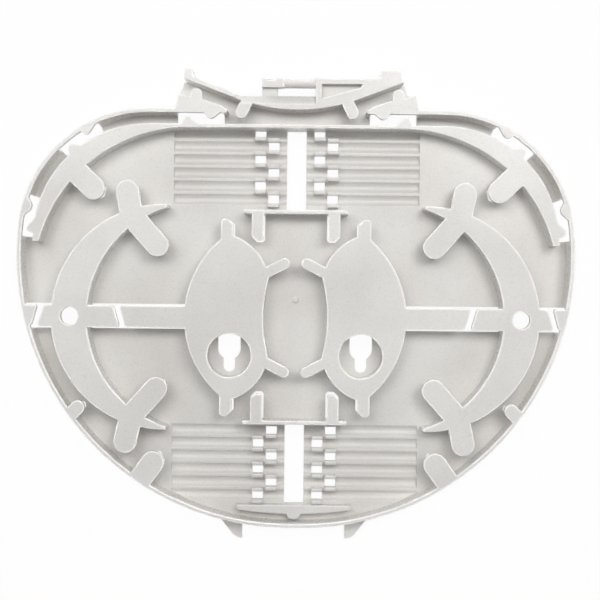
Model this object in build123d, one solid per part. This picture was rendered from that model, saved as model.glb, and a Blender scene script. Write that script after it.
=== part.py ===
from build123d import *
import math
import os

# Fibre splice tray, moulded in one piece. Millimetres, +Z up out of the open side, +Y towards the hinge.
# X and Y are measured from the midpoint between the two fixing holes, and Z from the underside of the
# splice pads. The finished tray is moved along Y, so that the origin lies under its middle.

# Levels
pad_drop = 1.0  # the splice pads hang this far below the floor
floor_thickness = 1.4
channel_depth = 6.0  # from the floor to the common top of rim, guides and tabs
tab_thickness = 1.4  # overhanging tabs, and the top skin of the hollow guides
guide_wall = 1.2  # side walls of the hollow guides
core_gap = 0.2  # the floor opening under a straight tab is this much wider on each side
finger_inset = 0.8  # the one under a round-ended finger is this much narrower

# Rim
tray_width = 150.0
rim_top = 56.0  # straight edge on the hinge side
rim_bottom = -56.45
rim_wall = 1.0
side_share = 0.488  # radius of the side arcs as a share of the width
corner_radius = 35.0
base_radius = 105.0

# Arc guides that follow the rim round the upper corners
rim_channel = 3.1  # clear width between rim and guide
arc_inner_radius = 41.5
arc_face = 51.1  # inner face of the thin wall that joins the two arc guides
arc_foot = 20.0  # lower ends of the arc guides
arc_foot_width = 1.65
arc_core_foot = 25.0  # lower ends of the hollows inside

# Crescent guides on both sides, made to the bend radius of the fibre
bend_radius = 30.3
outer_lane = 8.3  # clear width between rim and crescent
hollow_radius = 31.0
hollow_step = 10.3  # between the centres of the outer and inner circles
horn_step = 0.8  # the horns end this far past the centre of the outer circle
hole_reach = 25.4  # fixing holes, out from the same centre
hole_radius = 2.35

# Split spokes across the coil space, at the height of the fixing holes
spoke_width = 5.9
spoke_slit = 1.6
spoke_lean = 0.29  # sideways lean of the slit for each millimetre along it
spoke_corner = 0.6  # cut off each corner beside the slit
spoke_gap = 0.45  # the floor opening under a spoke is this much wider on each side
outer_slit_step = 3.7  # out from the crescent
inner_slit_step = 8.85  # in from the crescent

# Fingers that hold the fibre down, from root to tip centre. Those on the crescents are measured from
# the centre of the bend, and those on the rim have a root height and a reach inwards.
finger_width = 6.2
arc_finger_root = 1.9  # outside the inner radius of the arc guide
arc_finger_reach = 5.8  # inside it
arc_finger_angle = 135.9
horn_finger = ((-8.7, 27.0), (-10.0, 33.6))
coil_finger = ((-8.2, 26.4), (-1.9, 19.3))
rim_finger_y = -44.5
rim_finger_reach = (3.8, 5.3)
rim_nub_y = -26.9
rim_nub_reach = (2.2, 2.3)
nub_width = 3.8
entry_finger = ((-13.3, 58.6), (-15.0, 55.1))
entry_finger_width = 3.2

# Oval islands in the middle
oval_left_radius = 27.7
oval_left_x = 2.2
oval_half = 21.6  # half height of the oval
oval_shoulder = (-16.9, 22.0)
oval_flank = (-12.0, 19.3)
oval_corner = (-7.2, 10.5)
oval_waist_x = 8.6  # nearest the middle line on the concave side
oval_tab = (-20.2, -16.9)  # sides of the upright tabs
oval_tab_root = 20.0
oval_tab_tip = 26.5
oval_tab_chamfer = 1.4
side_tab = ((-10.0, 11.0), (-3.0, 14.6))
side_tab_width = 2.9

# Keyholes sunk in the ovals
keyhole_x = 17.7
keyhole_y = -10.25
keyhole_recess_radius = 5.85
boss_sides = 16  # round the recess, inside the hollow oval, stands a wall with this many flat sides
keyhole_wide = 6.2
keyhole_narrow = 3.2
keyhole_step = 0.35  # the hole lies this far outside the middle of its recess
keyhole_wide_y = -8.55  # centres of the wide and the narrow round end
keyhole_end_y = -13.45

# Bars beside the splice pads, with a tab at each end
bar_half = 14.0
bar_thickness = 1.0
upper_bar_y = 28.0  # faces that look at the ovals
lower_bar_y = -27.7
bar_tab = (-11.9, -8.7)
bar_tab_length = 7.2
bar_tab_chamfer = 1.4
tab_corner = 0.6  # short slant on the other side of a straight tab's tip

# Splice pads
pad_half = 34.6
groove_half = 33.7
groove_count = 6
groove_width = 2.9
groove_bed = 0.9  # flat bottom between the sloping sides
groove_depth = 1.0
upper_groove_y = 32.25  # the groove nearest the middle
upper_groove_pitch = 3.62
lower_groove_y = -30.8
lower_groove_pitch = 3.56
window_half = 2.65  # long window through the middle of each pad
latch_width = 3.0
latch_inner_x = 6.3  # the two columns of latches in each half
latch_outer_x = 9.95
latch_height = 2.0
latch_nose = 0.3  # how far the latch leans over its groove
latch_seat = 0.3  # how deep the foot of a latch is sunk in its ridge
gate_radius = 0.87  # six-sided mark left where the plastic was fed in
gate_y = 4.8
gate_height = 0.3

# Lower guide
foot_half = 15.4
foot_top = -50.9
foot_end = -52.15
foot_middle = -53.3
foot_height = 3.0  # lower than the other guides
foot_nub_radius = 1.9
foot_nub_y = -52.9
fin_root = -52.0
fin_x = (13.95, 20.5)
fin_shoulder = -54.6
fin_bend = (17.1, -58.9)  # where the slanting edge turns into the round tip
fin_curve = (16.0, -60.0)
fin_tip = (14.5, -60.5)

# Openings through the floor of the rim channel, and the humps that close over them. Round the corners
# they are given by angles about the centre of the corner, and a hump's points by radius and angle.
top_gap_x = (-32.8, -19.9)
corner_gap_angles = ((114.4, 135.7), (160.0, 179.2))
hump_cuts = (1.1, 0.4)  # the point of a hump is cut off, then the corners that this leaves
top_humps = (
    ((-25.4, 55.6), (-23.5, 52.7), (-20.2, 55.6)),
    ((-31.0, 51.5), (-30.2, 54.6), (-25.8, 51.5)),
)
rim_hump_radii = (35.0, 31.8, 34.5)
rim_hump_angles = ((123.1, 121.8, 114.2), (160.4, 165.1, 170.7))
guide_hump_radii = (30.1, 33.6, 30.0)
guide_hump_angles = ((134.7, 130.9, 124.3), (167.8, 176.4, 178.9))

# Entry funnel and hinge bracket
funnel_radius = 48.0
funnel_bottom = 56.0
funnel_tangent_x = 17.0
funnel_wall = 1.15
bracket_left = -30.3
bracket_right = 28.6
bracket_back = 59.8  # back edge of the plate beside the hinge slot
bracket_top = 64.35
spike = ((-27.7, 63.6), (-28.3, 66.6), (-30.0, 66.6), (-30.6, 64.5))
lug = ((28.6, 63.4), (28.0, 66.5), (22.6, 66.5), (21.9, 63.4))
entry_edge_left = ((-33.6, 55.5), (-32.4, 60.8), (-31.1, 64.0))
entry_edge_right = ((29.2, 64.2), (30.1, 61.2), (32.1, 60.6), (33.3, 55.5))
entry_pad = ((-33.0, 55.2), (-31.8, 59.8), (-28.9, 59.2), (-25.7, 58.6), (-20.5, 56.9), (-18.7, 55.5))
entry_pad_bump = ((-27.0, 57.5), (-27.2, 60.0))
entry_pad_bump_width = 3.1
entry_gap_half = 18.9  # the rim is open between the two entry pads
rib_x = (5.0, 6.6)
pocket = ((6.6, 63.0), (17.6, 63.0), (16.9, 61.9), (6.6, 59.1))
pocket_depth = 2.0
slope_start = 57.4
slope_drop = 1.5
hinge_post_x = (-9.5, -5.35)
hinge_block_x = (-9.5, -3.6)
hinge_block_y = (62.0, 64.4)
hinge_notch_x = (-8.2, -5.95)
hinge_notch_depth = 0.55
hinge_block_height = 2.9
bar_diameter = 2.45
pin_seat = 0.3  # each end of the bar runs this far into its block
bar_y = 63.15

floor_level = pad_drop + floor_thickness
top_level = floor_level + channel_depth
tab_level = top_level - tab_thickness
side_x = tray_width / 2
side_radius = tray_width * side_share
bend_x = side_x - rim_wall - outer_lane - bend_radius
hollow_x = bend_x - hollow_step
hole_x = bend_x + hole_reach


def around(centre, radius, degrees):
    angle = math.radians(degrees)
    return (centre[0] + radius * math.cos(angle), centre[1] + radius * math.sin(angle))


def direction(start, end):
    return math.degrees(math.atan2(end[1] - start[1], end[0] - start[0]))


def polygon(*points):
    return make_face(Polyline(*points, close=True))


def block(x_range, y_range):
    centre = Pos((x_range[0] + x_range[1]) / 2, (y_range[0] + y_range[1]) / 2)
    return centre * Rectangle(abs(x_range[1] - x_range[0]), abs(y_range[1] - y_range[0]))


def finger(ends, width):
    (x0, y0), (x1, y1) = ends
    length = math.hypot(x1 - x0, y1 - y0)
    middle = Pos((x0 + x1) / 2, (y0 + y1) / 2)
    return middle * SlotCenterToCenter(length, width, rotation=direction(*ends))


# The floor opening under a finger: a little narrower, with an end of half a hexagon
def finger_opening(ends, width):
    root, tip = ends
    turn = direction(root, tip)
    half = width / 2 - finger_inset
    corner = half / math.cos(math.radians(30))
    end = [around(tip, corner, turn + step) for step in (-60, 0, 60)]
    return polygon(*end, around(root, half, turn + 90), around(root, half, turn - 90))


def both(*faces):
    return [side for face in faces for side in (face, mirror(face, Plane.YZ))]


def upside_down(face):
    return mirror(face, Plane.XZ)


def joined(faces):
    return Sketch() + faces


def prism(face, low, high):
    return extrude(Pos(0, 0, low) * face, high - low)


# Stands faces up to the common top level
def raised(faces, low):
    return [prism(face, low, top_level) for face in faces]


# A profile in Y and Z, carried along X
def along_x(points, x_start, x_end):
    return extrude(Pos(x_start, 0, 0) * (Plane.YZ * polygon(*points)), x_end - x_start)


# Centre of the right side arc: as high as it must be for the base arc to touch both sides and the bottom
def side_centre():
    x = side_x - side_radius
    return (x, rim_bottom + base_radius - math.sqrt((base_radius - side_radius) ** 2 - x**2))


# Centre of the upper right corner, where it touches the side arc and the straight edge
def corner_centre():
    x, y = side_centre()
    corner_y = rim_top - corner_radius
    return (x + math.sqrt((side_radius - corner_radius) ** 2 - (corner_y - y) ** 2), corner_y)


# The rim is three tangent radii and a straight edge, and an inset moves it inwards all round
def rim_outline(inset=0.0):
    side = side_centre()
    corner = corner_centre()
    base = (0, rim_bottom + base_radius)
    base_turn = direction(base, side)
    corner_turn = direction(side, corner)
    low = around(side, side_radius - inset, base_turn)
    middle = around(side, side_radius - inset, (base_turn + corner_turn) / 2)
    high = around(side, side_radius - inset, corner_turn)
    bend = around(corner, corner_radius - inset, (corner_turn + 90) / 2)
    end = (corner[0], rim_top - inset)
    left = [(-x, y) for x, y in (low, middle, high, bend, end)]
    edges = [
        ThreePointArc(left[0], (0, rim_bottom + inset), low),
        ThreePointArc(low, middle, high),
        ThreePointArc(high, bend, end),
        Line(end, left[4]),
        ThreePointArc(left[4], left[3], left[2]),
        ThreePointArc(left[2], left[1], left[0]),
    ]
    return make_face(edges)


# Half width of the rim at a given height
def rim_x(height, inset=0.0):
    centre = side_centre()
    radius = side_radius - inset
    if height > around(centre, radius, direction(centre, corner_centre()))[1]:
        centre = corner_centre()
        radius = corner_radius - inset
    return centre[0] + math.sqrt(radius**2 - (height - centre[1]) ** 2)


# A finger that starts on the left side of the rim at a given height
def from_rim(height, reach):
    root = -rim_x(height)
    return ((root, height), (root + reach[0], height + reach[1]))


# Centre of the inner face of the right arc guide, which leaves the foot of the guide its width
def arc_centre():
    y = arc_face - arc_inner_radius
    foot_x = rim_x(arc_foot, rim_wall + rim_channel) - arc_foot_width
    return (foot_x - math.sqrt(arc_inner_radius**2 - (arc_foot - y) ** 2), y)


def arc_finger():
    x, y = arc_centre()
    root = around((-x, y), arc_inner_radius + arc_finger_root, arc_finger_angle)
    tip = around((-x, y), arc_inner_radius - arc_finger_reach, arc_finger_angle)
    return (root, tip)


def moved(ends, centre):
    return tuple((x + centre[0], y + centre[1]) for x, y in ends)


# Everything inside the two upper arcs and the thin wall between them, drawn larger by a margin
def arc_inside(margin=0.0):
    radius = arc_inner_radius + margin
    centre = arc_centre()
    side = around(centre, radius, 0)
    bend = around(centre, radius, 45)
    top = around(centre, radius, 90)
    left = [(-x, y) for x, y in (side, bend, top)]
    return make_face(
        [
            ThreePointArc(side, bend, top),
            Line(top, left[2]),
            ThreePointArc(left[2], left[1], left[0]),
            Line(left[0], side),
        ]
    )


def below(level):
    return block((-tray_width, tray_width), (level - tray_width, level))


def arc_guides():
    return rim_outline(rim_wall + rim_channel) - arc_inside() - below(arc_foot)


def arc_cores():
    core = rim_outline(rim_wall + rim_channel + guide_wall) - arc_inside(guide_wall)
    return core - below(arc_core_foot)


# A crescent between two circles, with its horns cut square
def crescent(margin=0.0):
    outside = Pos(-bend_x, 0) * Circle(bend_radius - margin)
    inside = Pos(-hollow_x, 0) * Circle(hollow_radius + margin)
    return outside - inside - block((horn_step - bend_x, 0), (-tray_width, tray_width))


def oval():
    left_side = around((-oval_left_x, 0), oval_left_radius, 180)
    lean = math.degrees(math.asin(oval_half / oval_left_radius))
    left_top = around((-oval_left_x, 0), oval_left_radius, 180 - lean)
    upper = [
        ThreePointArc((left_top[0], left_top[1]), left_side, (left_top[0], -left_top[1])),
        Line(left_top, oval_shoulder),
        ThreePointArc(oval_shoulder, oval_flank, oval_corner),
        ThreePointArc(oval_corner, (-oval_waist_x, 0), (oval_corner[0], -oval_corner[1])),
    ]
    flip = [(x, -y) for x, y in (left_top, oval_shoulder, oval_flank, oval_corner)]
    lower = [Line(flip[0], flip[1]), ThreePointArc(flip[1], flip[2], flip[3])]
    return make_face(upper + lower)


# A straight tab, cut at its tip by a long slant on one side and a short one on the other
def cut_tab(x_range, root, tip, cut, cut_side, margin=0.0):
    grow = margin if tip > root else -margin
    slope = cut if tip > root else -cut
    outer = x_range[cut_side] + (margin if cut_side else -margin)
    inner = x_range[1 - cut_side] + (-margin if cut_side else margin)
    step = -cut if cut_side else cut
    short = step / abs(step) * tab_corner
    end = tip + grow
    drop = slope / cut * tab_corner
    slanted = [(outer + step, end), (outer, end - slope), (outer, root)]
    return polygon((inner, root), (inner, end - drop), (inner - short, end), *slanted)


def oval_tabs(margin=0.0):
    upright = cut_tab(oval_tab, oval_tab_root, oval_tab_tip, oval_tab_chamfer, 1, margin)
    return [upright, upside_down(upright)]


def bar_tabs(margin=0.0):
    upper = cut_tab(bar_tab, upper_bar_y, upper_bar_y - bar_tab_length, bar_tab_chamfer, 0, margin)
    lower = cut_tab(bar_tab, lower_bar_y, lower_bar_y + bar_tab_length, bar_tab_chamfer, 0, margin)
    return [upper, lower]


def bars():
    upper = block((-bar_half, bar_half), (upper_bar_y, upper_bar_y + bar_thickness))
    lower = block((-bar_half, bar_half), (lower_bar_y, lower_bar_y - bar_thickness))
    return [upper, lower]


# Half of a split spoke, from its root to the leaning slit
def spoke_half(root, tip, lean):
    half = spoke_width / 2
    face = polygon((root, half), (tip + lean * half, half), (tip - lean * half, -half), (root, -half))
    ends = face.vertices().sort_by(lambda v: abs(v.X - root))[-2:]
    return chamfer(ends, spoke_corner)


def spokes():
    half_slit = spoke_slit / 2
    crescent_back = bend_x + bend_radius
    crescent_front = hollow_x + hollow_radius
    island = oval_left_x + oval_left_radius - guide_wall
    outer_slit = crescent_back + outer_slit_step
    inner_slit = crescent_front - inner_slit_step
    return [
        spoke_half(-side_x + rim_wall / 2, -outer_slit - half_slit, spoke_lean),
        spoke_half(-crescent_back + guide_wall, -outer_slit + half_slit, spoke_lean),
        spoke_half(-crescent_front - guide_wall, -inner_slit - half_slit, -spoke_lean),
        spoke_half(-island, -inner_slit + half_slit, -spoke_lean),
    ]


def spoke_openings():
    half = spoke_width / 2 + spoke_gap
    outside = block((-side_x, -bend_x - bend_radius + guide_wall), (-half, half))
    inside = block((-hollow_x - hollow_radius, -oval_left_x - oval_left_radius), (-half, half))
    return [outside, inside]


# The outer opening also runs out under the rim
def rim_gap():
    half = spoke_width / 2 + spoke_gap
    return block((-side_x - rim_wall, 2 * rim_wall - side_x), (-half, half))


# Every round-ended finger on the left side, each drawn by the same function
def fingers(draw):
    bend_centre = (-bend_x, 0)
    crescent_fingers = [draw(moved(ends, bend_centre), finger_width) for ends in (horn_finger, coil_finger)]
    long_fingers = crescent_fingers + [draw(arc_finger(), finger_width)]
    long_fingers.append(draw(from_rim(rim_finger_y, rim_finger_reach), finger_width))
    prong = draw(side_tab, side_tab_width)
    low_fingers = [upside_down(face) for face in crescent_fingers + [prong]]
    nub = draw(from_rim(rim_nub_y, rim_nub_reach), nub_width)
    entry = draw(entry_finger, entry_finger_width)
    bump = draw(entry_pad_bump, entry_pad_bump_width)
    return long_fingers + low_fingers + [prong, nub, entry, bump]


def left_corner():
    x, y = corner_centre()
    return (-x, y)


def channel_humps():
    corner = left_corner()
    outlines = list(top_humps)
    for radii, rows in ((rim_hump_radii, rim_hump_angles), (guide_hump_radii, guide_hump_angles)):
        outlines += [[around(corner, radius, turn) for radius, turn in zip(radii, row)] for row in rows]
    faces = []
    for points in outlines:
        face = polygon(*points)
        for corners, cut in enumerate(hump_cuts, 1):
            face = chamfer(face.vertices().sort_by_distance(points[1])[:corners], cut)
        faces.append(face)
    return faces


# They run out under the rim, which is left as a strip above them
def channel_openings():
    corner = left_corner()
    ring = rim_outline(-rim_wall) - rim_outline(rim_wall + rim_channel + core_gap)
    sectors = [block(top_gap_x, (arc_face, rim_top + rim_wall))]
    for start, end in corner_gap_angles:
        reach = 2 * corner_radius
        sectors.append(polygon(corner, around(corner, reach, start), around(corner, reach, end)))
    return [ring & sector for sector in sectors]


# Lower edge of the entry funnel: an arc that runs out into two straight flanks
def funnel():
    centre = (0, funnel_bottom + funnel_radius)
    drop = math.sqrt(funnel_radius**2 - funnel_tangent_x**2)
    tangent_y = centre[1] - drop
    slope = funnel_tangent_x / drop
    left_end = tangent_y + (-bracket_left - funnel_tangent_x) * slope
    right_end = tangent_y + (bracket_right - funnel_tangent_x) * slope
    rise = funnel_wall * math.hypot(1, slope)
    wall_meets = -funnel_tangent_x - (bracket_back - rise - tangent_y) / slope
    lower = [
        Line((bracket_left, left_end), (-funnel_tangent_x, tangent_y)),
        ThreePointArc((-funnel_tangent_x, tangent_y), (0, funnel_bottom), (funnel_tangent_x, tangent_y)),
        Line((funnel_tangent_x, tangent_y), (bracket_right, right_end)),
    ]
    upper = Polyline(
        (bracket_right, right_end),
        (bracket_right, bracket_top),
        (rib_x[0], bracket_top),
        (rib_x[0], bracket_back),
        (wall_meets, bracket_back),
        (bracket_left, left_end + rise),
        (bracket_left, left_end),
    )
    return make_face(lower + [upper])


def entry_floor():
    back = ((bracket_left, bracket_top), (0, funnel_bottom), (bracket_right, bracket_top))
    return polygon(*entry_edge_left, *back, *entry_edge_right)


def rim():
    wall = rim_outline() - rim_outline(rim_wall)
    return wall - block((-entry_gap_half, entry_gap_half), (rim_top - 2 * rim_wall, rim_top + rim_wall))


def foot_guide():
    edges = [
        Line((-foot_half, foot_top), (foot_half, foot_top)),
        Line((foot_half, foot_top), (foot_half, foot_end)),
        ThreePointArc((foot_half, foot_end), (0, foot_middle), (-foot_half, foot_end)),
        Line((-foot_half, foot_end), (-foot_half, foot_top)),
    ]
    return [make_face(edges), Pos(0, foot_nub_y) * Circle(foot_nub_radius)]


def fin():
    inner, outer = fin_x
    shoulder = (outer, fin_shoulder)
    return make_face(
        [
            Polyline(fin_bend, shoulder, (outer, fin_root), (inner, fin_root), (inner, fin_tip[1]), fin_tip),
            ThreePointArc(fin_tip, fin_curve, fin_bend),
        ]
    )


def keyhole():
    half = keyhole_wide / 2
    wide = block((-half, half), (keyhole_wide_y, keyhole_y + keyhole_recess_radius))
    wide += Pos(0, keyhole_wide_y) * Circle(half)
    end = Pos(0, keyhole_end_y) * Circle(keyhole_narrow / 2)
    neck = block((-keyhole_narrow / 2, keyhole_narrow / 2), (keyhole_end_y, keyhole_wide_y))
    return Pos(-keyhole_x - keyhole_step, 0) * (wide + end + neck)


def grooves():
    upper = [upper_groove_y + upper_groove_pitch * i for i in range(groove_count)]
    lower = [lower_groove_y - lower_groove_pitch * i for i in range(groove_count)]
    return upper, lower


# A groove is a shallow trough with sloping sides, so that a protector settles in its middle
def groove_cutters():
    half = groove_width / 2
    bed = groove_bed / 2
    low = floor_level - groove_depth
    upper, lower = grooves()
    cutters = []
    for y in upper + lower:
        profile = ((y - half, floor_level), (y - bed, low), (y + bed, low), (y + half, floor_level))
        cutters.append(along_x(profile, -groove_half, groove_half))
    return cutters


# Each groove has one latch window in each half; the inner and outer columns take turns
def latch_places():
    upper, lower = grooves()
    places = []
    for rows in (upper, lower):
        for i, y in enumerate(rows):
            outward = groove_count - 1 - i
            columns = (latch_outer_x, latch_inner_x)
            left, right = columns if outward % 2 == 0 else columns[::-1]
            places += [(-left, y), (right, y)]
    return places


def pads():
    upper, lower = grooves()
    reach = upper_groove_pitch / 2
    top = block((-pad_half, pad_half), (upper[0] - reach, arc_face))
    bottom = block((-pad_half, pad_half), (lower[-1] - reach, lower[0] + reach)) & rim_outline()
    return [top, bottom]


def middle_windows():
    upper = block((-window_half, window_half), (upper_bar_y + bar_thickness, arc_face))
    lower = block((-window_half, window_half), (foot_top, lower_bar_y - bar_thickness))
    return [upper, lower]


# A pair of latches stands on the ridges beside each window, leaning over it. At the groove below the
# upper wall that wall takes the place of a latch.
def latches():
    half = groove_width / 2
    posts = []
    for x, y in latch_places():
        pitch = upper_groove_pitch if y > 0 else lower_groove_pitch
        heel = pitch - half
        low = floor_level - latch_seat
        high = floor_level + latch_height
        profile = ((heel, low), (half, low), (half - latch_nose, high), (heel, high))
        sides = (-1, 1) if y + half < arc_face else (-1,)
        for side in sides:
            points = [(y + side * across, up) for across, up in profile]
            posts.append(along_x(points, x - latch_width / 2, x + latch_width / 2))
    return posts


def latch_windows():
    half = latch_width / 2
    high = groove_width / 2
    return [block((x - half, x + half), (y - high, y + high)) for x, y in latch_places()]


def islands():
    oval_face = oval() - Pos(-keyhole_x, keyhole_y) * Circle(keyhole_recess_radius)
    left = [crescent(), oval_face, polygon(*entry_pad)]
    bracket = [funnel(), polygon(*spike), polygon(*lug)]
    return [arc_guides()] + both(*left) + bars() + bracket + [rim()]


def cores():
    boss = RegularPolygon(keyhole_recess_radius + guide_wall, boss_sides, major_radius=False)
    hollow = offset(oval(), -guide_wall) - Pos(-keyhole_x, keyhole_y) * boss
    return [arc_cores()] + both(crescent(guide_wall), hollow)


def tabs():
    left = fingers(finger) + oval_tabs() + bar_tabs() + spokes() + channel_humps()
    inside = rim_outline() + entry_floor()
    return both(*[face & inside for face in left])


def floor_openings():
    left = fingers(finger_opening) + oval_tabs(core_gap) + bar_tabs(core_gap)
    return both(*left, *spoke_openings(), keyhole())


def hinge():
    post = prism(block(hinge_post_x, (slope_start, hinge_block_y[1])), pad_drop, top_level - slope_drop)
    notch = block(hinge_notch_x, (hinge_block_y[1] - hinge_notch_depth, hinge_block_y[1]))
    end = prism(block(hinge_block_x, hinge_block_y) - notch, top_level - hinge_block_height, top_level)
    length = rib_x[0] - hinge_block_x[1] + 2 * pin_seat
    middle = (rib_x[0] + hinge_block_x[1]) / 2
    axis = Pos(middle, bar_y, top_level - hinge_block_height / 2) * Rot(0, 90, 0)
    pin = axis * Cylinder(bar_diameter / 2, length)
    return [post, end, pin]


# Cuts in the hinge bracket: a plate that slopes down to the slot, and a pocket beside the rib
def bracket_cuts():
    slope_end = top_level - slope_drop
    clear = bracket_back + rim_wall
    wedge = ((slope_start, top_level), (clear, top_level), (clear, slope_end), (bracket_back, slope_end))
    slope = along_x(wedge, -funnel_tangent_x, rib_x[0])
    return [slope, prism(polygon(*pocket), top_level - pocket_depth, top_level)]


def gate_mark():
    face = Pos(0, gate_y) * RegularPolygon(gate_radius, 6)
    return prism(face, floor_level - gate_height, floor_level + gate_height)


def splice_tray():
    plate = joined([rim_outline(rim_wall / 2), entry_floor()] + both(fin())) - floor_openings()
    tray = prism(plate, pad_drop, floor_level) + prism(joined(pads()), 0, floor_level)
    tray -= groove_cutters()
    tray -= prism(joined(latch_windows() + middle_windows()), 0, floor_level)
    tray += raised(islands(), pad_drop) + raised(tabs(), tab_level)
    tray += prism(joined(foot_guide()), pad_drop, floor_level + foot_height)
    tray -= bracket_cuts()
    tray -= prism(joined(cores() + both(rim_gap(), *channel_openings())), pad_drop, tab_level)
    tray -= prism(joined(both(Pos(-hole_x, 0) * Circle(hole_radius))), tab_level, top_level)
    tray += latches() + hinge() + [gate_mark()]
    return Pos(0, -tray.bounding_box().center().Y, 0) * tray


if __name__ == "__main__":
    os.makedirs("parts", exist_ok=True)
    export_step(splice_tray(), "parts/splice_tray.step")
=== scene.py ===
import math

import bmesh
import bpy
from mathutils import Matrix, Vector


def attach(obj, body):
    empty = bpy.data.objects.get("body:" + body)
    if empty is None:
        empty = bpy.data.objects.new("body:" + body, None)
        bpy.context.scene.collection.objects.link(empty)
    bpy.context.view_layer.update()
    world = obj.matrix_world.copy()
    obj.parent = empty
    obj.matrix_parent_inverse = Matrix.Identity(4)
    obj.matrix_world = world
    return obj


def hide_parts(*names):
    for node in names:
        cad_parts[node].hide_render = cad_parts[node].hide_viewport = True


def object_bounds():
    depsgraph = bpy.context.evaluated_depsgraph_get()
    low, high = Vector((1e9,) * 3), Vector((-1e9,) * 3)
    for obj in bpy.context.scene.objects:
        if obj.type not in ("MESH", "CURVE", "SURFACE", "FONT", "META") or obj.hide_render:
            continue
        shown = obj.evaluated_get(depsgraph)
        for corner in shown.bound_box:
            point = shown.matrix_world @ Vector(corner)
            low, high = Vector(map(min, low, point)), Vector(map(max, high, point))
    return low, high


mm = 0.001

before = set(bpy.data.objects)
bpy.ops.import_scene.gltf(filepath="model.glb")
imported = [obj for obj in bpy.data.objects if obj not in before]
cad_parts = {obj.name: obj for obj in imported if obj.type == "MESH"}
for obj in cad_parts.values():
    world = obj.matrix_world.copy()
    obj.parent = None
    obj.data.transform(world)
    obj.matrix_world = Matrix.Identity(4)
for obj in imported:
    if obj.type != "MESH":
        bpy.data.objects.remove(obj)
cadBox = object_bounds()
scene = bpy.context.scene
scene.view_settings.view_transform = "Standard"
print("frame loaded:", list(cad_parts))


def linearColour(hexCode):
    channels = [int(hexCode[i:i + 2], 16) / 255 for i in (1, 3, 5)]
    linear = [c / 12.92 if c <= 0.04045 else ((c + 0.055) / 1.055) ** 2.4 for c in channels]
    return (*linear, 1.0)


def addNode(tree, kind, settings=None, links=None):
    node = tree.nodes.new(kind)
    for name, value in (settings or {}).items():
        if isinstance(name, str) and hasattr(node, name):
            setattr(node, name, value)
        else:
            node.inputs[name].default_value = value
    for name, socket in (links or {}).items():
        tree.links.new(socket, node.inputs[name])
    return node


def emptyTree(owner):
    owner.use_nodes = True
    owner.node_tree.nodes.clear()
    return owner.node_tree


# One moulding of ABS, so one material. The mould was spark eroded, which leaves a fine even grain:
# a satin face without a clear reflection, and a tone that drifts a little with the flow of the melt.
# A range is given as its low and high end.
plastic = {
    "pale": "#e7e5e2",
    "dull": "#dbd8d5",
    "speck": "#c3c1ba",
    "cloudSize": 26 * mm,
    "cloudRange": (0.35, 0.65),
    "speckSize": 1.3 * mm,
    "speckRange": (0.70, 0.78),
    "speckShare": 0.25,
    "grainSize": 0.45 * mm,  # true grain is nearer 0.1 mm, which would not show
    "grainRange": (0.3, 0.7),
    "grainHeight": 0.015 * mm,
    # painted highlight: the paler colour that edges standing out are mixed towards
    "edge": "#faf9f6",
    "edgeRadius": 0.85 * mm,
    "floorRadius": 0.25 * mm,
    "edgeLevels": (2.5 * mm, 3.0 * mm),  # between the floor and the walls that stand on it
    "edgeBend": (0.88, 0.99),  # cosine between the rounded and the flat normal
    "cornerReach": 1.5 * mm,
    "cornerLight": (0.75, 0.95),  # share of the sky that is clear of corners
    "roughness": (0.25, 0.33),
    "ior": 1.53,
}


# The tone drifts in clouds, with dust in the melt where a fine noise has its rare peaks
def meltTone(tree, place):
    cloud = addNode(
        tree, "ShaderNodeTexNoise", {"Scale": 1 / plastic["cloudSize"], "Detail": 3.0}, {"Vector": place}
    )
    low, high = plastic["cloudRange"]
    drift = addNode(
        tree, "ShaderNodeMapRange", {"From Min": low, "From Max": high}, {"Value": cloud.outputs["Fac"]}
    )
    tone = addNode(
        tree,
        "ShaderNodeMix",
        {"data_type": "RGBA", 6: linearColour(plastic["dull"]), 7: linearColour(plastic["pale"])},
        {0: drift.outputs["Result"]},
    )
    dust = addNode(
        tree, "ShaderNodeTexNoise", {"Scale": 1 / plastic["speckSize"], "Detail": 1.0}, {"Vector": place}
    )
    low, high = plastic["speckRange"]
    peaks = addNode(
        tree,
        "ShaderNodeMapRange",
        {"From Min": low, "From Max": high, "To Max": plastic["speckShare"]},
        {"Value": dust.outputs["Fac"]},
    )
    return addNode(
        tree,
        "ShaderNodeMix",
        {"data_type": "RGBA", 7: linearColour(plastic["speck"])},
        {0: peaks.outputs["Result"], 6: tone.outputs[2]},
    ).outputs[2]


# The edges of rim, guides and tabs are rounded more than those of the floor and its grooves
def roundedNormal(tree, place):
    height = addNode(tree, "ShaderNodeSeparateXYZ", None, {"Vector": place})
    low, high = plastic["edgeLevels"]
    radius = addNode(
        tree,
        "ShaderNodeMapRange",
        {
            "From Min": low,
            "From Max": high,
            "To Min": plastic["floorRadius"],
            "To Max": plastic["edgeRadius"],
        },
        {"Value": height.outputs["Z"]},
    )
    edges = addNode(tree, "ShaderNodeBevel", {"samples": 6}, {"Radius": radius.outputs["Result"]})
    return edges.outputs["Normal"]
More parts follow.
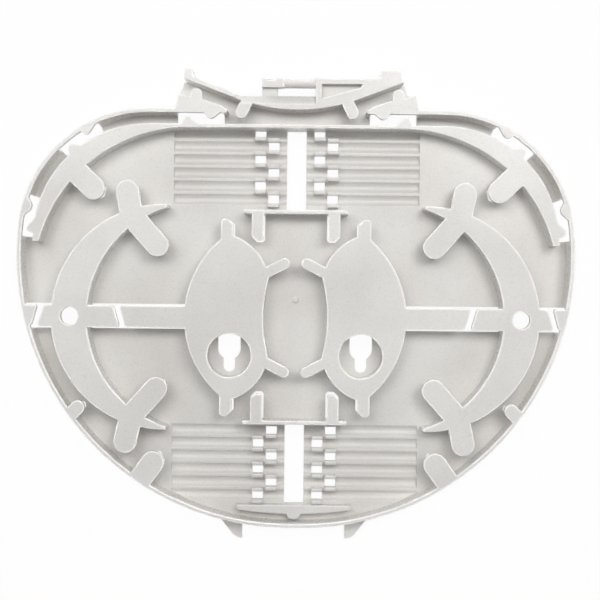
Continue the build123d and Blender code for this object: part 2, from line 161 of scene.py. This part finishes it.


# Edges that stand out get a painted highlight: their colour is mixed towards a paler one, in place of the
# bright outline that light gives a rounded edge. It lies where the rounded normal leaves the flat one and no
# corner is near that would hide the sky.
def paintedEdgeHighlight(tree, rounded):
    flat = addNode(tree, "ShaderNodeNewGeometry").outputs["Normal"]
    along = addNode(tree, "ShaderNodeVectorMath", {"operation": "DOT_PRODUCT"}, {0: rounded, 1: flat})
    bent, straight = plastic["edgeBend"]
    bend = addNode(
        tree,
        "ShaderNodeMapRange",
        {"From Min": straight, "From Max": bent},
        {"Value": along.outputs["Value"]},
    )
    openness = addNode(
        tree, "ShaderNodeAmbientOcclusion", {"samples": 4, "Distance": plastic["cornerReach"]}
    )
    low, high = plastic["cornerLight"]
    clear = addNode(
        tree, "ShaderNodeMapRange", {"From Min": low, "From Max": high}, {"Value": openness.outputs["AO"]}
    )
    return addNode(
        tree,
        "ShaderNodeMath",
        {"operation": "MULTIPLY"},
        {0: bend.outputs["Result"], 1: clear.outputs["Result"]},
    ).outputs["Value"]


def mouldedAbs():
    material = bpy.data.materials.new("ABS_spark_eroded_moulding")
    # The edges are round only in their normals, and light that comes in low has to count on them
    material.cycles.use_bump_map_correction = False
    tree = emptyTree(material)
    place = addNode(tree, "ShaderNodeTexCoord").outputs["Object"]
    rounded = roundedNormal(tree, place)
    # the melt's tone with the painted edge highlight mixed in
    colour = addNode(
        tree,
        "ShaderNodeMix",
        {"data_type": "RGBA", 7: linearColour(plastic["edge"])},
        {0: paintedEdgeHighlight(tree, rounded), 6: meltTone(tree, place)},
    )
    grain = addNode(
        tree, "ShaderNodeTexNoise", {"Scale": 1 / plastic["grainSize"], "Detail": 2.0}, {"Vector": place}
    )
    low, high = plastic["grainRange"]
    smooth, coarse = plastic["roughness"]
    rough = addNode(
        tree,
        "ShaderNodeMapRange",
        {"From Min": low, "From Max": high, "To Min": smooth, "To Max": coarse},
        {"Value": grain.outputs["Fac"]},
    )
    bump = addNode(
        tree,
        "ShaderNodeBump",
        {"Strength": 1.0, "Distance": plastic["grainHeight"]},
        {"Height": grain.outputs["Fac"], "Normal": rounded},
    )
    shader = addNode(
        tree,
        "ShaderNodeBsdfPrincipled",
        {"IOR": plastic["ior"]},
        {
            "Base Color": colour.outputs[2],
            "Roughness": rough.outputs["Result"],
            "Normal": bump.outputs["Normal"],
        },
    )
    addNode(tree, "ShaderNodeOutputMaterial", None, {"Surface": shader.outputs["BSDF"]})
    return material


# The tray is a merged copy of the solid, smooth round the arcs and sharp at the edges, so that the small
# radius of a mould's edges can be left to the material. Only the wall of the rim is cut, see cutRim.
tray = {
    "weld": 0.001 * mm,
    "sharpAngle": math.radians(24),
    "grooveBed": 1.4 * mm,
    "ridge": 2.4 * mm,  # height of the floor between the grooves
    "levelMargin": 0.02 * mm,
    "levelFace": 0.99,  # least upward part of the normal of a bed
    "grooveSlope": (0.6, 0.8),  # upward part of the normal of a groove's side
    "sideways": 0.01,  # most that such a normal leans along the groove
    "bedTilt": math.radians(15),
    "ridgeTilt": math.radians(50),
    "rimOpening": {"x": (70.9 * mm, 76 * mm), "y": (-6.46 * mm, 0.36 * mm), "z": (-1 * mm, 6.99 * mm)},
}


def mergedCopy(node):
    mesh = node.data.copy()
    work = bmesh.new()
    work.from_mesh(mesh)
    bmesh.ops.remove_doubles(work, verts=work.verts, dist=tray["weld"])
    work.to_mesh(mesh)
    work.free()
    if "custom_normal" in mesh.attributes:
        mesh.attributes.remove(mesh.attributes["custom_normal"])
    mesh.materials.clear()
    return mesh


def openingBoxes():
    ranges = [tray["rimOpening"][axis] for axis in "xyz"]
    middle = [sum(pair) / 2 for pair in ranges]
    sizes = [pair[1] - pair[0] for pair in ranges]
    work = bmesh.new()
    for side in (-1, 1):
        place = Matrix.Translation((side * middle[0], middle[1], middle[2]))
        bmesh.ops.create_cube(work, size=1, matrix=place @ Matrix.Diagonal((*sizes, 1)))
    mesh = bpy.data.meshes.new("rim_openings")
    work.to_mesh(mesh)
    work.free()
    return bpy.data.objects.new("rim_openings", mesh)


# Under the outer tabs of the two spokes the wall of the rim is open
def cutRim(piece):
    cutter = openingBoxes()
    scene.collection.objects.link(cutter)
    cut = piece.modifiers.new("rim_openings", "BOOLEAN")
    cut.operation = "DIFFERENCE"
    cut.solver = "EXACT"
    cut.object = cutter
    graph = bpy.context.evaluated_depsgraph_get()
    whole = piece.data
    piece.data = bpy.data.meshes.new_from_object(piece.evaluated_get(graph))
    piece.modifiers.clear()
    bpy.data.meshes.remove(whole)
    bpy.data.meshes.remove(cutter.data)


def markEdges(mesh):
    work = bmesh.new()
    work.from_mesh(mesh)
    for face in work.faces:
        face.smooth = True
    for edge in work.edges:
        edge.smooth = edge.is_manifold and edge.calc_face_angle() < tray["sharpAngle"]
    work.to_mesh(mesh)
    work.free()


# 1 or -1 on a sloping side of a groove, by the way it faces, 0 on a groove's bed, else None
def grooveSide(mesh, face):
    heights = [mesh.vertices[i].co.z for i in face.vertices]
    margin = tray["levelMargin"]
    if min(heights) < tray["grooveBed"] - margin or max(heights) > tray["ridge"] + margin:
        return None
    if face.normal.z > tray["levelFace"] and max(heights) < tray["grooveBed"] + margin:
        return 0
    steep, gentle = tray["grooveSlope"]
    if abs(face.normal.x) < tray["sideways"] and steep < face.normal.z < gentle:
        return math.copysign(1, face.normal.y)
    return None


# The grooves are round troughs by their normals: nearly upright at the bed, tilted most at the ridges
def roundGrooves(mesh):
    normals = [(0, 0, 0)] * len(mesh.loops)
    for face in mesh.polygons:
        side = grooveSide(mesh, face)
        if side is None:
            continue
        for i in face.loop_indices:
            spot = mesh.vertices[mesh.loops[i].vertex_index].co
            share = (spot.z - tray["grooveBed"]) / (tray["ridge"] - tray["grooveBed"])
            tilt = tray["bedTilt"] + share * (tray["ridgeTilt"] - tray["bedTilt"])
            facing = side or math.copysign(1, face.center.y - spot.y)
            normals[i] = (0, facing * math.sin(tilt), math.cos(tilt))
    mesh.normals_split_custom_set(normals)


def dressedTray(node):
    piece = bpy.data.objects.new("moulded_tray", mergedCopy(node))
    scene.collection.objects.link(piece)
    cutRim(piece)
    markEdges(piece.data)
    roundGrooves(piece.data)
    piece.data.name = "moulded_tray"
    return piece


mouldedTray = dressedTray(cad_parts["splice_tray"])
mouldedTray.data.materials.append(mouldedAbs())
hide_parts("splice_tray")
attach(mouldedTray, "root")
print("tray dressed:", len(mouldedTray.data.polygons), "faces")


# A white sheet to lie on and a white room. Both look white to the camera and in reflections,
# and the sheet keeps a faint shadow.
room = {
    "sheet": "#f7f7f6",
    "sheetHalf": 1.5,
    "sheetDrop": 0.05 * mm,
    "sheetGlow": 0.96,
    "skyColour": "#f4f6f8",
    "lowSky": 22,
    "highSky": 0.30,
    "skyTurn": 0.09,  # sine of the height above which the sky stays dim
}


def whiteRays(tree):
    path = addNode(tree, "ShaderNodeLightPath")
    seen = addNode(
        tree,
        "ShaderNodeMath",
        {"operation": "MAXIMUM"},
        {0: path.outputs["Is Camera Ray"], 1: path.outputs["Is Glossy Ray"]},
    )
    return addNode(
        tree,
        "ShaderNodeMath",
        {"operation": "MAXIMUM"},
        {0: seen.outputs["Value"], 1: path.outputs["Is Transmission Ray"]},
    ).outputs["Value"]


def whiteSheet():
    half = room["sheetHalf"]
    low = -room["sheetDrop"]
    mesh = bpy.data.meshes.new("white_sheet")
    corners = [(-half, -half, low), (half, -half, low), (half, half, low), (-half, half, low)]
    mesh.from_pydata(corners, [], [(0, 1, 2, 3)])
    sheet = bpy.data.objects.new("white_sheet", mesh)
    scene.collection.objects.link(sheet)
    material = bpy.data.materials.new("paper_sheet_matt")
    tree = emptyTree(material)
    paper = addNode(tree, "ShaderNodeBsdfDiffuse", {"Color": linearColour(room["sheet"])})
    glow = addNode(tree, "ShaderNodeEmission", {"Color": (1, 1, 1, 1), "Strength": 1.0})
    share = addNode(
        tree, "ShaderNodeMath", {"operation": "MULTIPLY", 1: room["sheetGlow"]}, {0: whiteRays(tree)}
    ).outputs["Value"]
    mixed = addNode(
        tree, "ShaderNodeMixShader", None, {0: share, 1: paper.outputs["BSDF"], 2: glow.outputs["Emission"]}
    )
    addNode(tree, "ShaderNodeOutputMaterial", None, {"Surface": mixed.outputs["Shader"]})
    mesh.materials.append(material)


def whiteRoom():
    world = bpy.data.worlds.new("white_room")
    scene.world = world
    tree = emptyTree(world)
    place = addNode(tree, "ShaderNodeTexCoord").outputs["Generated"]
    height = addNode(tree, "ShaderNodeSeparateXYZ", None, {"Vector": place})
    strength = addNode(
        tree,
        "ShaderNodeMapRange",
        {"From Max": room["skyTurn"], "To Min": room["lowSky"], "To Max": room["highSky"]},
        {"Value": height.outputs["Z"]},
    )
    sky = addNode(
        tree,
        "ShaderNodeBackground",
        {"Color": linearColour(room["skyColour"])},
        {"Strength": strength.outputs["Result"]},
    )
    white = addNode(tree, "ShaderNodeBackground", {"Color": (1, 1, 1, 1), "Strength": 1.0})
    mixed = addNode(
        tree,
        "ShaderNodeMixShader",
        None,
        {0: whiteRays(tree), 1: sky.outputs["Background"], 2: white.outputs["Background"]},
    )
    addNode(tree, "ShaderNodeOutputWorld", None, {"Surface": mixed.outputs["Shader"]})


# A long strip high above on the hinge side gives most of the light and shines in the troughs of the grooves.
# Two soft boxes beside it add to it, the right one more, so the right half is a little brighter.
lamps = {
    "rightBox": {"place": (0.18, 0.145, 0.46), "size": (0.18, 0.18), "watts": 0.41, "colour": "#fffefb"},
    "leftBox": {"place": (-0.22, 0.19, 0.60), "size": (0.22, 0.22), "watts": 0.30, "colour": "#fffefb"},
    "hingeStrip": {"place": (0.0, 0.20, 0.49), "size": (0.70, 0.19), "watts": 1.30, "colour": "#fffefb"},
}


def addLamps():
    for name, lamp in lamps.items():
        light = bpy.data.lights.new(name, "AREA")
        light.shape = "RECTANGLE"
        light.size, light.size_y = lamp["size"]
        light.energy = lamp["watts"]
        light.color = linearColour(lamp["colour"])[:3]
        holder = bpy.data.objects.new(name, light)
        scene.collection.objects.link(holder)
        x, y, z = lamp["place"]
        holder.location = lamp["place"]
        holder.rotation_euler = (math.atan2(math.hypot(x, y), z), 0, math.atan2(y, x) + math.pi / 2)


# The camera looks straight down. Its height follows from how much smaller the floor shows than the rim.
view = {
    "axis": (1.24 * mm, 1.78 * mm),
    "height": 273 * mm,  # above the rim
    "clip": (0.01, 10),
    "across": 161.1 * mm,  # width of the picture at the height of the rim
    "roll": math.radians(0.556),
}


def addCamera():
    lens = bpy.data.cameras.new("camera")
    lens.sensor_fit = "HORIZONTAL"
    lens.angle = 2 * math.atan(view["across"] / 2 / view["height"])
    lens.clip_start, lens.clip_end = view["clip"]
    camera = bpy.data.objects.new("camera", lens)
    scene.collection.objects.link(camera)
    camera.location = (*view["axis"], cadBox[1][2] + view["height"])
    camera.rotation_euler = (0, 0, view["roll"])
    scene.camera = camera


whiteSheet()
whiteRoom()
addLamps()
addCamera()
print("stage, lamps and camera set")
